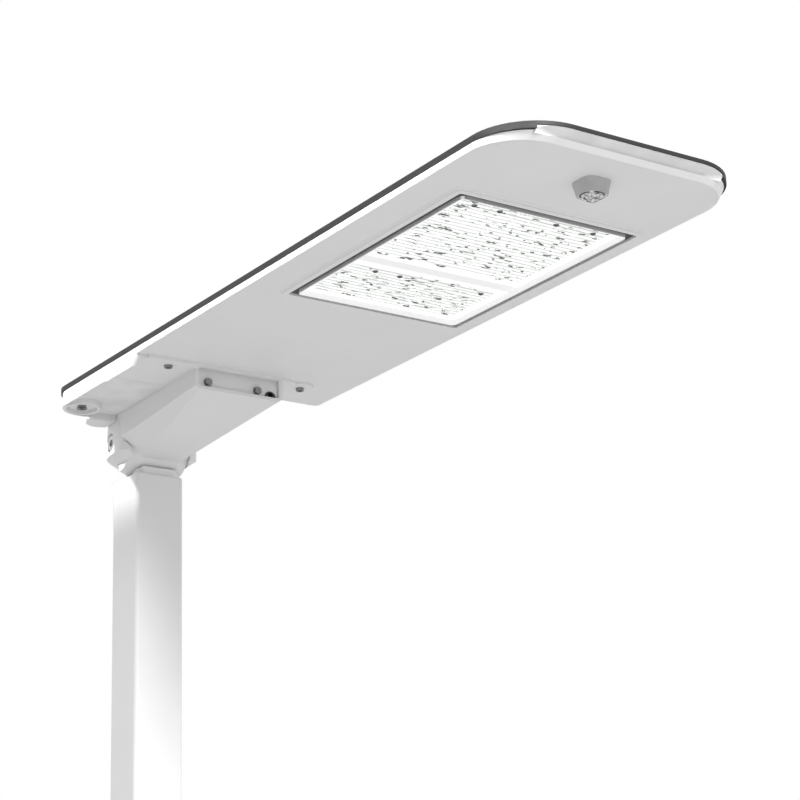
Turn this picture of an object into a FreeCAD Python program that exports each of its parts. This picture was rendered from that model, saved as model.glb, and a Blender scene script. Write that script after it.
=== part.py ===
import FreeCAD, Part
import math
import os

# Solar street lamp: a thin rectangular luminaire with the panel on top and the
# LED window below, on a wedge bracket that tilts on a coupler at the top of a
# square pole. Millimetres, +Z up, +X towards the nose, +Y to the left of the
# nose. The origin is the middle of the pole section's lower end.

os.makedirs("parts", exist_ok=True)
V = FreeCAD.Vector

# ---- driving dimensions ------------------------------------------------------
POLE_SIDE = 80.0
POLE_WALL = 4.0
POLE_CORNER = 6.0
POLE_TOP_ROUND = 3.0       # rounding of the pole's top edge
POLE_LENGTH = 566.0

PIVOT_RISE = 51.0          # pole top to the tilt axis
TRAY_RISE = 43.0           # tilt axis to the underside of the tray

BLADE_REAR = 195.0         # rear end of the panel, from the pole axis
BLADE_LENGTH = 958.5       # along the tray
BLADE_WIDTH = 355.0
BLADE_OFFSET = 8.0         # blade centre line, to the left of the pole axis
NOSE_OVERHANG = 24.5       # panel frame beyond the tray
TRAY_CORNER = 66.0
FRAME_CORNER = 82.0
REAR_CORNER = 8.0
REAR_BLOCK_CORNER = 40.0
REAR_OVERHANG = 6.0        # panel frame beyond the rear block

REAR_BLOCK_START = 18.0    # rear end of the rear block, from the pole axis
REAR_BLOCK_LEFT = 90.0     # left side of the rear block, from the pole axis

RIM_HEIGHT = 8.2           # white side band
FRAME_HEIGHT = 9.0         # black side band
RIM_WALL = 1.8
RIM_FLARE = 15.0           # how far the rim leans out at the nose
TRAY_SHEET = 2.4
TRAY_CLEARANCE = 0.2       # tray edge to the rim
FRAME_WALL = 3.0
FRAME_LEDGE = 6.0          # width of the ledge that carries the glass
FRAME_LEDGE_SHEET = 1.6
REAR_LID_SHEET = 2.0       # frame sheet over the rear block
GLASS_THICK = 3.2
CELL_THICK = 0.4
BACKSHEET_THICK = 0.6
RIM_CLEARANCE = 0.3
NOSE_SCOOP_HALF = 138.0    # half width of the scooped nose piece
NOSE_LIP = 4.5             # height of the rim's lip below the scoop
NOSE_FRAME_SHEET = 4.6     # frame height left over the scoop
NOSE_CLEARANCE = 0.2
NOSE_SEAT = 3.0            # nose piece behind the tray's front edge
NOSE_STEP = 5.0            # lip left in front of the rim before the scoop starts
NOSE_TIP_SETBACK = 1.5
NOSE_TIP_LAND = 0.6

CELL_ROWS = 2
CELL_COLUMNS = 11
CELL_X = 78.0
CELL_Y = 156.0
CELL_GAP = 2.5
CELL_CORNER = 7.0

WINDOW_START = 600.0       # rear edge of the LED window, from the pole axis
WINDOW_LENGTH = 392.0
WINDOW_WIDTH = 270.0
WINDOW_SHIFT = 14.5        # window centre line, to the left of the blade's
WINDOW_CORNER = 3.0
COLLAR_DEPTH = 4.0
COLLAR_WIDTH = 8.0
COLLAR_FILLET = 3.0
GROOVE_WIDTH = 7.5
GROOVE_RECESS = 3.0        # window gasket face above the collar's face
MODULE_CORNER = 12.0
MODULE_WALL = 2.2
MODULE_PROUD = 1.0         # module rim below the collar
MODULE_FLANGE = 6.0        # flange over the tray, beyond the opening
MODULE_FLANGE_SHEET = 1.5
LENS_RECESS = 7.5          # lens face above the module rim
LENS_THICK = 2.4
LENS_CORNER = 3.0          # corners beside the bar; the outer ones follow the module
BAR_WIDTH = 18.0           # bar between the two lens plates
REAR_LENS_LENGTH = 128.0
LENS_RIB_PITCH = 9.0
LENS_RIB_WIDTH = 2.4
LENS_RIB_DEPTH = 0.8
LENS_MARGIN = 14.0
BOARD_THICK = 1.2
LED_SIDE = 3.5
LED_HEIGHT = 0.9
LED_ROW_PITCH = 24.0
LED_COLUMNS = 8
LED_PITCH = 27.0
SPREADER_THICK = 1.6
LENS_SCREW_HEAD = 8.0
LENS_SCREW_HEAD_HEIGHT = 1.4
LENS_SCREW_SHANK = 3.0
LENS_SCREW_EDGE = 24.0     # from the front edge of each lens plate
FRONT_LENS_SCREWS = (-90.0, -52.0, 34.0, 92.0)
REAR_LENS_SCREWS = (-72.0, -34.0, 96.0)

SENSOR_FROM_NOSE = 65.0    # sensor axis behind the tray's front edge
SENSOR_BASE = 40.0
SENSOR_BASE_CORNER = 13.0
SENSOR_TIP = 31.0
SENSOR_TIP_CORNER = 7.0
SENSOR_DROP = 17.0
SENSOR_WALL = 2.0
SENSOR_LENS_SIDE = 27.0
SENSOR_LENS_PROUD = 4.5
SENSOR_LENS_FACET = 5.0
SENSOR_BOARD_SIDE = 24.0

BRACKET_HALF = 72.0        # half width of the wedge at its front
CHEEK_HALF = 66.0          # half width over the coupler's cheeks
WEDGE_FRONT = 280.0        # front face of the wedge, from the pole axis
WEDGE_FRONT_DROP = 35.0
WEDGE_SIDE_DROP = 31.0
WEDGE_REAR_X = 40.0
WEDGE_REAR_DROP = 71.0
WEDGE_BOTTOM_HALF = 32.0   # half width of the flat bottom at the rear
BRACKET_WALL = 5.0
FLANGE_THICK = 4.0
FLANGE_FRONT = 290.0
SKIRT_FRONT = 284.0        # front end of the skirt's wall
FLANGE_SCREW_X = 268.0
FLANGE_SCREW_Y = 110.0
EAR_RADIUS = 20.0
SKIRT_DROP = 16.0          # right side skirt below the tray
SKIRT_WALL = 3.5
SKIRT_RUNOUT = 14.0        # length over which the skirt rises to its front end
SKIRT_PLATE = 5.0          # plate that joins the skirt to the bracket
COVER_DROP = 14.0          # rear cover's wall below the tray
SCREW_BOSS_RADIUS = 28.0
SCREW_POCKET_RADIUS = 23.0
SCREW_POCKET_DEPTH = 6.0
LUG_RADIUS = 26.0          # rear lug of the bracket
LUG_X = 8.0
LUG_Y = -82.0
LUG_DROP = 15.0
SKIRT_SEAM = 187.0         # seam between the bracket's skirt and the rear cover
SEAM_GAP = 0.4
CHEEK_THICK = 16.2         # each cheek of the coupler
KNUCKLE_CORE = 29.0
CUP_GAP = 5.5
SIDE_GAP = 0.8
TILT_GAP = 0.5
CHEEK_RADIUS = 38.0
REAR_ARC_X = 7.0           # centre of the half-round rear end
CUP_STEPS = 6              # straight pieces in the cup's turned-up side
CUP_TOP_DROP = 16.0        # top of the cup's rim below the tilt axis
COUPLER_FRONT = 43.0
COUPLER_TAPER_TOP = 20.0   # where the coupler starts to narrow, below the axis
COUPLER_FOOT = 9.0         # straight part of the foot above the pole
COUPLER_FOOT_HALF = 36.0
COUPLER_FOOT_FRONT = 36.0  # front of the coupler's foot
HORN_GAP = 2.0             # between the coupler's raised front sides and the wedge
COUPLER_CORNER = 13.0      # front corners of the coupler
SPIGOT_LENGTH = 90.0
SPIGOT_CLEARANCE = 0.4
SPIGOT_ROOF = 10.0         # roof of the spigot, below the pole's top
SPIGOT_WALL = 6.0
WIRE_BORE = 22.0

PIVOT_BORE = 12.4
PIVOT_BOLT = 12.0
PIVOT_HEAD = 24.0
PIVOT_HEAD_HEIGHT = 5.0
PIVOT_HEAD_SOCKET = 10.0
PIVOT_WASHER = 27.0
PIVOT_WASHER_THICK = 1.5
PIVOT_SINK = 9.0           # depth of the recess for the bolt head and the nut
PIVOT_SINK_CLEARANCE = 0.8
PIVOT_NUT_HEIGHT = 7.0
PIVOT_NUT_ACROSS = 22.0
PIVOT_END = 1.0

FRONT_PLATE_THICK = 3.0
FRONT_PLATE_CLEARANCE = 0.4
FRONT_PLATE_SETBACK = 5.0
FRONT_BOLT_Y = (-50.0, 32.0)
FRONT_BOLT_RISE = 12.5     # bolt axis above the wedge's bottom edge
FRONT_BOLT_HEAD = 10.0
FRONT_BOLT_SHANK = 6.0
FRONT_BOLT_GRIP = 10.0
FRONT_BOLT_HEAD_HEIGHT = 4.0
FRONT_WASHER_THICK = 1.2
GROMMET_RADIUS = 9.0
GROMMET_Y = 54.0
FLANGE_SCREW_HEAD = 12.0
FLANGE_SCREW_HEAD_HEIGHT = 4.0
FLANGE_SCREW_SHANK = 5.0
SCREW_CLEARANCE = 0.6
SET_SCREW = 8.0
SET_SCREW_DROP = (22.0, 62.0)

BATTERY_ROWS = 3
BATTERY_COLUMNS = 3
BATTERY_X = 112.0
BATTERY_Y = 96.0
BATTERY_THICK = 7.0
BATTERY_GAP = 4.0
BATTERY_PAD = 0.8
BATTERY_FROM_REAR = 14.0
STRAP_WIDTH = 16.0
STRAP_THICK = 0.9

CONTROLLER_X = 96.0
CONTROLLER_Y = 84.0

# ---- derived places ----------------------------------------------------------
POLE_TOP = POLE_LENGTH
PIVOT_Z = POLE_TOP + PIVOT_RISE
KNUCKLE_HALF = CHEEK_HALF - CHEEK_THICK - SIDE_GAP
TRAY_Z = PIVOT_Z + TRAY_RISE
RIM_TOP = TRAY_Z + RIM_HEIGHT
FRAME_TOP = RIM_TOP + FRAME_HEIGHT
BLADE_FRONT = BLADE_REAR + BLADE_LENGTH
FRAME_FRONT = BLADE_FRONT + NOSE_OVERHANG
BLADE_RIGHT = BLADE_OFFSET - BLADE_WIDTH / 2
BLADE_LEFT = BLADE_OFFSET + BLADE_WIDTH / 2
WINDOW_Y = BLADE_OFFSET + WINDOW_SHIFT
WINDOW_END = WINDOW_START + WINDOW_LENGTH
COLLAR_Z = TRAY_Z - COLLAR_DEPTH
MODULE_Z = COLLAR_Z - MODULE_PROUD
LENS_Z = MODULE_Z + LENS_RECESS
BOARD_Z = LENS_Z + LENS_THICK + LED_HEIGHT + 0.2
TRAY_INSIDE = TRAY_Z + TRAY_SHEET
GLASS_Z = FRAME_TOP - GLASS_THICK
CELL_Z = GLASS_Z - CELL_THICK
BACKSHEET_Z = CELL_Z - BACKSHEET_THICK

parts = {}


# ---- shape helpers -----------------------------------------------------------
def block(x0, x1, y0, y1, z0, z1):
    return Part.makeBox(x1 - x0, y1 - y0, z1 - z0, V(x0, y0, z0))


def rod(radius, length, start, direction):
    return Part.makeCylinder(radius, length, start, direction)


def ring_profile(x0, x1, y0, y1, front_radius, rear_radius, z):
    """Wire of a rectangle with rounded front and rear corners at height z."""
    f, r, c = front_radius, rear_radius, math.sqrt(0.5)
    front_right = V(x1 - f + f * c, y0 + f - f * c, z)
    front_left = V(x1 - f + f * c, y1 - f + f * c, z)
    rear_left = V(x0 + r - r * c, y1 - r + r * c, z)
    rear_right = V(x0 + r - r * c, y0 + r - r * c, z)
    edges = [
        Part.LineSegment(V(x0 + r, y0, z), V(x1 - f, y0, z)),
        Part.Arc(V(x1 - f, y0, z), front_right, V(x1, y0 + f, z)),
        Part.LineSegment(V(x1, y0 + f, z), V(x1, y1 - f, z)),
        Part.Arc(V(x1, y1 - f, z), front_left, V(x1 - f, y1, z)),
        Part.LineSegment(V(x1 - f, y1, z), V(x0 + r, y1, z)),
        Part.Arc(V(x0 + r, y1, z), rear_left, V(x0, y1 - r, z)),
        Part.LineSegment(V(x0, y1 - r, z), V(x0, y0 + r, z)),
        Part.Arc(V(x0, y0 + r, z), rear_right, V(x0 + r, y0, z)),
    ]
    return Part.Wire([edge.toShape() for edge in edges])


def rounded_plate(x0, x1, y0, y1, radius, z0, z1, rear_radius=None):
    rear = radius if rear_radius is None else rear_radius
    wire = ring_profile(x0, x1, y0, y1, radius, rear, z0)
    return Part.Face(wire).extrude(V(0, 0, z1 - z0))


def prism(points, direction):
    """Extrude a flat polygon along a vector."""
    wire = Part.makePolygon(list(points) + [points[0]])
    return Part.Face(wire).extrude(direction)


def hexagon(across, height, start, direction):
    """Hexagonal prism along Y or Z."""
    radius = across / math.sqrt(3)
    points = []
    for turn in range(6):
        u = radius * math.cos(math.radians(60 * turn))
        v = radius * math.sin(math.radians(60 * turn))
        flat = V(u, 0, v) if abs(direction.y) > 0.5 else V(u, v, 0)
        points.append(start + flat)
    return prism(points, direction * height)


def fuse(shapes):
    whole = shapes[0].multiFuse(list(shapes[1:])) if len(shapes) > 1 else shapes[0]
    return whole.removeSplitter()


def cut(shape, tools):
    for tool in tools:
        shape = shape.cut(tool)
    return shape


def keep(name, shape):
    parts[name] = shape


def keep_group(name, solids):
    parts[name] = Part.makeCompound(solids)


# ---- outlines of the blade ---------------------------------------------------
def blade_solid(inset, front, corner, z0, z1, overhang=0.0):
    """The blade and its rear block, pulled in by inset, between two heights."""
    main = rounded_plate(BLADE_REAR + inset, front, BLADE_RIGHT + inset, BLADE_LEFT - inset,
                         corner, z0, z1, max(REAR_CORNER - inset, 1.0))
    rear = rounded_plate(REAR_BLOCK_START - overhang + inset, BLADE_REAR + 60, BLADE_RIGHT + inset,
                         REAR_BLOCK_LEFT - inset, 1.0, z0, z1, REAR_BLOCK_CORNER - inset)
    return fuse([main, rear])


def blade_rim_body(inset, z0, z1):
    """The flared body of the white rim, pulled in by inset."""
    lean = RIM_FLARE / RIM_HEIGHT
    low = BLADE_FRONT + RIM_WALL - inset + lean * (z0 - TRAY_Z)
    high = BLADE_FRONT + RIM_WALL - inset + lean * (z1 - TRAY_Z)
    grow = (high - low) * 0.65
    corner = TRAY_CORNER + RIM_WALL - inset
    rear = max(REAR_CORNER - inset, 1.0)
    sides = (BLADE_RIGHT + inset, BLADE_LEFT - inset)
    low_wire = ring_profile(BLADE_REAR + inset, low, sides[0], sides[1], corner, rear, z0)
    high_wire = ring_profile(BLADE_REAR + inset, high, sides[0], sides[1], corner + grow, rear, z1)
    main = Part.makeLoft([low_wire, high_wire], True, True)
    back = rounded_plate(REAR_BLOCK_START + inset, BLADE_REAR + 60, sides[0],
                         REAR_BLOCK_LEFT - inset, 1.0, z0, z1, REAR_BLOCK_CORNER - inset)
    return fuse([main, back])


def scoop_box(x0, z0, z1):
    y0 = BLADE_OFFSET - NOSE_SCOOP_HALF
    return block(x0, FRAME_FRONT + 5, y0, y0 + 2 * NOSE_SCOOP_HALF, z0, z1)


# ---- blade: tray, rim, frame, panel ------------------------------------------
def window_plate(grow, corner, z0, z1):
    """Rounded plate in line with the LED window, larger by grow on each side."""
    return rounded_plate(WINDOW_START - grow, WINDOW_END + grow,
                         WINDOW_Y - WINDOW_WIDTH / 2 - grow, WINDOW_Y + WINDOW_WIDTH / 2 + grow,
                         corner, z0, z1)


def build_tray():
    inset = RIM_WALL + TRAY_CLEARANCE
    sheet = blade_solid(inset, BLADE_FRONT - TRAY_CLEARANCE, TRAY_CORNER, TRAY_Z, TRAY_INSIDE)
    collar = window_plate(COLLAR_WIDTH, WINDOW_CORNER + COLLAR_WIDTH, COLLAR_Z, TRAY_INSIDE)
    foot = window_plate(COLLAR_WIDTH + COLLAR_FILLET, WINDOW_CORNER + COLLAR_WIDTH + COLLAR_FILLET,
                        TRAY_Z - COLLAR_FILLET, TRAY_Z)
    slope = foot.makeChamfer(COLLAR_FILLET - 0.05, bottom_edges(foot, TRAY_Z - COLLAR_FILLET))
    tray = fuse([sheet, collar, slope])
    opening = window_plate(0, WINDOW_CORNER, COLLAR_Z - 1, TRAY_INSIDE + 1)
    sensor_hole = rod(SENSOR_TIP / 2 - SENSOR_WALL - 2, 20, V(sensor_x(), BLADE_OFFSET, TRAY_Z - 5),
                      V(0, 0, 1))
    wire_hole = rod(WIRE_BORE / 2, 20, V(WEDGE_FRONT - 60, 0, TRAY_Z - 5), V(0, 0, 1))
    screw_holes = [rod(FLANGE_SCREW_SHANK / 2, 20, V(FLANGE_SCREW_X, side * FLANGE_SCREW_Y, TRAY_Z - 5),
                       V(0, 0, 1)) for side in (-1, 1)]
    cover_hole = rod(FLANGE_SCREW_SHANK / 2, 20, V(cover_screw_x(), cover_screw_y(), TRAY_Z - 5),
                     V(0, 0, 1))
    keep("tray", cut(tray, [opening, sensor_hole, wire_hole, cover_hole] + screw_holes))


def bottom_edges(shape, z):
    return [edge for edge in shape.Edges
            if abs(edge.BoundBox.ZMin - z) < 1e-6 and abs(edge.BoundBox.ZMax - z) < 1e-6]


def top_edges(shape, z):
    return [edge for edge in shape.Edges
            if abs(edge.BoundBox.ZMin - z) < 1e-6 and abs(edge.BoundBox.ZMax - z) < 1e-6]


def sensor_x():
    return BLADE_FRONT - SENSOR_FROM_NOSE


def cover_screw_x():
    return REAR_BLOCK_START + SCREW_BOSS_RADIUS + SKIRT_WALL


def cover_screw_y():
    return BLADE_RIGHT + SCREW_BOSS_RADIUS + SKIRT_WALL


def build_rim():
    outer = blade_rim_body(0, TRAY_Z, RIM_TOP)
    inner = blade_rim_body(RIM_WALL, TRAY_Z - 1, RIM_TOP + 1)
    rim = outer.cut(inner)
    keep("side_rim", rim.cut(scoop_box(BLADE_FRONT - 20, TRAY_Z + NOSE_LIP, RIM_TOP + 1)))


def build_nose_cap():
    """Scooped nose piece: a hollow curve from the rim's lip out to the frame's edge."""
    top = FRAME_TOP - NOSE_FRAME_SHEET - NOSE_CLEARANCE
    low = TRAY_Z + NOSE_LIP + NOSE_CLEARANCE
    back = BLADE_FRONT - NOSE_SEAT
    foot = BLADE_FRONT + RIM_WALL + NOSE_STEP
    tip = FRAME_FRONT - NOSE_TIP_SETBACK
    edge = top - NOSE_TIP_LAND
    y0 = BLADE_OFFSET - NOSE_SCOOP_HALF + NOSE_CLEARANCE
    middle = V(foot + (tip - foot) * 0.3, y0, low + (edge - low) * 0.7)
    edges = [
        Part.LineSegment(V(back, y0, low), V(foot, y0, low)).toShape(),
        Part.Arc(V(foot, y0, low), middle, V(tip, y0, edge)).toShape(),
        Part.LineSegment(V(tip, y0, edge), V(tip, y0, top)).toShape(),
        Part.LineSegment(V(tip, y0, top), V(back, y0, top)).toShape(),
        Part.LineSegment(V(back, y0, top), V(back, y0, low)).toShape(),
    ]
    width = 2 * (NOSE_SCOOP_HALF - NOSE_CLEARANCE)
    cap = Part.Face(Part.Wire(edges)).extrude(V(0, width, 0))
    outline = rounded_plate(BLADE_REAR, tip, BLADE_RIGHT + NOSE_TIP_SETBACK, BLADE_LEFT - NOSE_TIP_SETBACK,
                            FRAME_CORNER - NOSE_TIP_SETBACK, low - 1, top + 1)
    keep("nose_cap", cap.common(outline))


def build_panel():
    base = RIM_TOP + RIM_CLEARANCE
    outer = blade_solid(0, FRAME_FRONT, FRAME_CORNER, base, FRAME_TOP, REAR_OVERHANG)
    wall = FRAME_WALL
    pocket = rounded_plate(BLADE_REAR + wall, FRAME_FRONT - wall, BLADE_RIGHT + wall,
                           BLADE_LEFT - wall, FRAME_CORNER - wall, BACKSHEET_Z, FRAME_TOP + 1,
                           REAR_CORNER - wall)
    ledge = wall + FRAME_LEDGE
    opening = rounded_plate(BLADE_REAR + ledge, FRAME_FRONT - ledge - 14, BLADE_RIGHT + ledge,
                            BLADE_LEFT - ledge, FRAME_CORNER - ledge, base - 1, FRAME_TOP, 2.0)
    underside = rounded_plate(BLADE_REAR + wall, BLADE_FRONT - NOSE_SEAT - 0.5, BLADE_RIGHT + wall,
                              BLADE_LEFT - wall, TRAY_CORNER, base - 1,
                              BACKSHEET_Z - FRAME_LEDGE_SHEET, 2.0)
    rear_room = rounded_plate(REAR_BLOCK_START + wall, BLADE_REAR - wall, BLADE_RIGHT + wall,
                              REAR_BLOCK_LEFT - wall, 1.0, base - 1, FRAME_TOP - REAR_LID_SHEET,
                              REAR_BLOCK_CORNER - wall)
    passage = block(BLADE_REAR - wall - 1, BLADE_REAR + wall + 1, BLADE_RIGHT + 40,
                    REAR_BLOCK_LEFT - 20, base - 1, BACKSHEET_Z - FRAME_LEDGE_SHEET)
    scoop = scoop_box(BLADE_FRONT - NOSE_SEAT - 0.5, base - 1, FRAME_TOP - NOSE_FRAME_SHEET)
    keep("panel_frame", cut(outer, [pocket, opening, underside, rear_room, passage, scoop]))

    fit = wall + 0.5
    glass = rounded_plate(BLADE_REAR + fit, FRAME_FRONT - fit, BLADE_RIGHT + fit, BLADE_LEFT - fit,
                          FRAME_CORNER - fit, GLASS_Z, FRAME_TOP - 0.4, REAR_CORNER - fit)
    keep("panel_glass", glass)
    keep("panel_backsheet", rounded_plate(BLADE_REAR + fit, FRAME_FRONT - fit, BLADE_RIGHT + fit,
                                          BLADE_LEFT - fit, FRAME_CORNER - fit, BACKSHEET_Z, CELL_Z,
                                          REAR_CORNER - fit))
    keep_group("solar_cells", solar_cells())


def solar_cells():
    cells = []
    start_x = BLADE_REAR + FRAME_WALL + 9
    start_y = BLADE_OFFSET - (CELL_ROWS * CELL_Y + (CELL_ROWS - 1) * CELL_GAP) / 2
    for column in range(CELL_COLUMNS):
        for row in range(CELL_ROWS):
            x = start_x + column * (CELL_X + CELL_GAP)
            y = start_y + row * (CELL_Y + CELL_GAP)
            c = CELL_CORNER
            points = [V(x + c, y, CELL_Z), V(x + CELL_X, y, CELL_Z), V(x + CELL_X, y + CELL_Y, CELL_Z),
                      V(x + c, y + CELL_Y, CELL_Z), V(x, y + CELL_Y - c, CELL_Z), V(x, y + c, CELL_Z)]
            cells.append(prism(points, V(0, 0, CELL_THICK)))
    return cells


# ---- LED window --------------------------------------------------------------
def lens_spans():
    """X limits of the rear and the front lens plate."""
    inner = GROOVE_WIDTH + MODULE_WALL + 0.3
    rear_start = WINDOW_START + inner
    rear_end = rear_start + REAR_LENS_LENGTH
    return (rear_start, rear_end), (rear_end + BAR_WIDTH, WINDOW_END - inner)


def lens_sides():
    inner = GROOVE_WIDTH + MODULE_WALL + 0.3
    return WINDOW_Y - WINDOW_WIDTH / 2 + inner, WINDOW_Y + WINDOW_WIDTH / 2 - inner


def build_led_module():
    rim = window_plate(-GROOVE_WIDTH, MODULE_CORNER, MODULE_Z, TRAY_INSIDE + MODULE_FLANGE_SHEET)
    flange = window_plate(MODULE_FLANGE, WINDOW_CORNER + MODULE_FLANGE, TRAY_INSIDE,
                          TRAY_INSIDE + MODULE_FLANGE_SHEET)
    hollow = window_plate(-GROOVE_WIDTH - MODULE_WALL, MODULE_CORNER - MODULE_WALL, MODULE_Z - 1,
                          TRAY_INSIDE + 9)
    rear_span, front_span = lens_spans()
    right, left = lens_sides()
    bar = block(rear_span[1] + 0.2, front_span[0] - 0.2, right - 1, left + 1, LENS_Z,
                TRAY_INSIDE + MODULE_FLANGE_SHEET)
    keep("led_module_frame", fuse([fuse([rim, flange]).cut(hollow), bar]))

    seal = window_plate(-0.2, WINDOW_CORNER, COLLAR_Z + GROOVE_RECESS, TRAY_INSIDE - 0.1)
    keep("window_gasket", seal.cut(window_plate(-GROOVE_WIDTH + 0.1, MODULE_CORNER, MODULE_Z - 1,
                                                TRAY_INSIDE + 1)))
    names = ("rear", "front")
    rows = (REAR_LENS_SCREWS, FRONT_LENS_SCREWS)
    screws = []
    for name, span, offsets in zip(names, (rear_span, front_span), rows):
        screw_x = span[1] - LENS_SCREW_EDGE
        keep("lens_plate_" + name, lens_plate(span, right, left, screw_x, offsets))
        keep("led_board_" + name, led_board(span, right, left, screw_x, offsets))
        keep_group("leds_" + name, leds(span, offsets))
        screws += [lens_screw(screw_x, WINDOW_Y + offset) for offset in offsets]
    keep_group("lens_screws", screws)
    spreader_z = BOARD_Z + BOARD_THICK
    keep("heat_spreader", block(rear_span[0] + 4, front_span[1] - 4, right + 4, left - 4, spreader_z,
                                spreader_z + SPREADER_THICK))


def lens_plate(span, right, left, screw_x, offsets):
    outer = MODULE_CORNER - MODULE_WALL
    is_rear = span[0] < WINDOW_START + WINDOW_LENGTH / 4
    front, rear = (LENS_CORNER, outer) if is_rear else (outer, LENS_CORNER)
    plate = rounded_plate(span[0], span[1], right, left, front, LENS_Z, LENS_Z + LENS_THICK, rear)
    grooves = []
    x = span[0] + LENS_MARGIN
    while x < screw_x - LENS_SCREW_HEAD:
        grooves.append(block(x, x + LENS_RIB_PITCH - LENS_RIB_WIDTH, right + LENS_MARGIN,
                             left - LENS_MARGIN, LENS_Z - 1, LENS_Z + LENS_RIB_DEPTH))
        x += LENS_RIB_PITCH
    holes = [rod(LENS_SCREW_SHANK / 2 + 0.2, 9, V(screw_x, WINDOW_Y + y, LENS_Z - 1), V(0, 0, 1))
             for y in offsets]
    return cut(plate, [Part.makeCompound(grooves)] + holes)


def led_board(span, right, left, screw_x, offsets):
    board = block(span[0] + 4, span[1] - 4, right + 4, left - 4, BOARD_Z, BOARD_Z + BOARD_THICK)
    holes = [rod(LENS_SCREW_SHANK / 2 + 0.2, 9, V(screw_x, WINDOW_Y + y, BOARD_Z - 1), V(0, 0, 1))
             for y in offsets]
    return cut(board, holes)


def leds(span, offsets):
    """LED packages in rows across the board, clear of the screws."""
    chips = []
    rows = int((span[1] - span[0] - 2 * LENS_MARGIN) // LED_ROW_PITCH)
    for row in range(rows):
        x = span[0] + LENS_MARGIN + (row + 0.5) * LED_ROW_PITCH
        for column in range(LED_COLUMNS):
            y = WINDOW_Y + (column - (LED_COLUMNS - 1) / 2) * LED_PITCH
            near_screw = abs(x - (span[1] - LENS_SCREW_EDGE)) < LENS_SCREW_HEAD
            if near_screw and min(abs(y - WINDOW_Y - offset) for offset in offsets) < LENS_SCREW_HEAD:
                continue
            chips.append(block(x - LED_SIDE / 2, x + LED_SIDE / 2, y - LED_SIDE / 2, y + LED_SIDE / 2,
                               BOARD_Z - LED_HEIGHT, BOARD_Z))
    return chips


def lens_screw(x, y):
    head = Part.makeCone(LENS_SCREW_HEAD / 2 - 1.2, LENS_SCREW_HEAD / 2, LENS_SCREW_HEAD_HEIGHT,
                         V(x, y, LENS_Z - LENS_SCREW_HEAD_HEIGHT), V(0, 0, 1))
    shank = rod(LENS_SCREW_SHANK / 2, BOARD_Z + BOARD_THICK - LENS_Z, V(x, y, LENS_Z), V(0, 0, 1))
    drive = hexagon(3.0, 1.0, V(x, y, LENS_Z - LENS_SCREW_HEAD_HEIGHT - 0.1), V(0, 0, 1))
    return fuse([head, shank]).cut(drive)


# ---- motion sensor -----------------------------------------------------------
def square_wire(side, corner, x, y, z):
    return ring_profile(x - side / 2, x + side / 2, y - side / 2, y + side / 2, corner, corner, z)


def build_sensor():
    x, y = sensor_x(), BLADE_OFFSET
    tip = TRAY_Z - SENSOR_DROP
    body = Part.makeLoft([square_wire(SENSOR_BASE, SENSOR_BASE_CORNER, x, y, TRAY_Z),
                          square_wire(SENSOR_TIP, SENSOR_TIP_CORNER, x, y, tip)], True, True)
    wall = SENSOR_WALL
    room_base = square_wire(SENSOR_BASE - 2 * wall, SENSOR_BASE_CORNER - wall, x, y, TRAY_Z + 0.01)
    room_tip = square_wire(SENSOR_TIP - 2 * wall, SENSOR_TIP_CORNER - wall, x, y, tip - 0.01)
    room = Part.makeLoft([room_base, room_tip], True, True)
    keep("sensor_boss", body.cut(room))
    top = tip + 4
    face = tip - SENSOR_LENS_PROUD
    corner = SENSOR_TIP_CORNER - wall - 0.1
    side = SENSOR_TIP - 2 * wall - 0.2
    plug = Part.makeLoft([square_wire(side, corner, x, y, top), square_wire(side, corner, x, y, tip)],
                         True, True)
    dome_base = square_wire(SENSOR_LENS_SIDE, SENSOR_TIP_CORNER - wall, x, y, tip)
    dome_face = square_wire(SENSOR_LENS_SIDE - 2 * SENSOR_LENS_FACET, 2.5, x, y, face)
    dome = Part.makeLoft([dome_base, dome_face], True, True)
    keep("sensor_lens", fuse([plug, dome]))
    half = SENSOR_BOARD_SIDE / 2
    keep("sensor_board", block(x - half, x + half, y - half, y + half, tip + 6, tip + 7.2))


# ---- tilt bracket ------------------------------------------------------------
def revolve_about_pivot(profile):
    """Turn a radius profile, given as (half width, radius) pairs, about the tilt axis."""
    points = [V(0, -profile[-1][0], PIVOT_Z)]
    points += [V(radius, -half, PIVOT_Z) for half, radius in reversed(profile)]
    points += [V(radius, half, PIVOT_Z) for half, radius in profile]
    points.append(V(0, profile[-1][0], PIVOT_Z))
    clean = [points[0]]
    for point in points[1:]:
        if (point - clean[-1]).Length > 1e-6:
            clean.append(point)
    face = Part.Face(Part.makePolygon(clean + [clean[0]]))
    return face.revolve(V(0, 0, PIVOT_Z), V(0, 1, 0), 360)


def wedge_radius(y):
    """Distance from the tilt axis to the wedge's lower edge at its rear end."""
    slope = (WEDGE_REAR_DROP - TRAY_RISE) / (CHEEK_HALF - WEDGE_BOTTOM_HALF)
    ramp = max(y - WEDGE_BOTTOM_HALF, 0)
    return math.hypot(WEDGE_REAR_X, max(WEDGE_REAR_DROP - TRAY_RISE - slope * ramp, 0))


def cup_profile(gap, half):
    """(half width, radius) pairs of the cup or the knuckle out to half."""
    start = WEDGE_BOTTOM_HALF
    widths = [start + (half - start) * step / CUP_STEPS for step in range(CUP_STEPS + 1)]
    return [(0.0, wedge_radius(0) + gap)] + [(y, wedge_radius(y) + gap) for y in widths]


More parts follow.
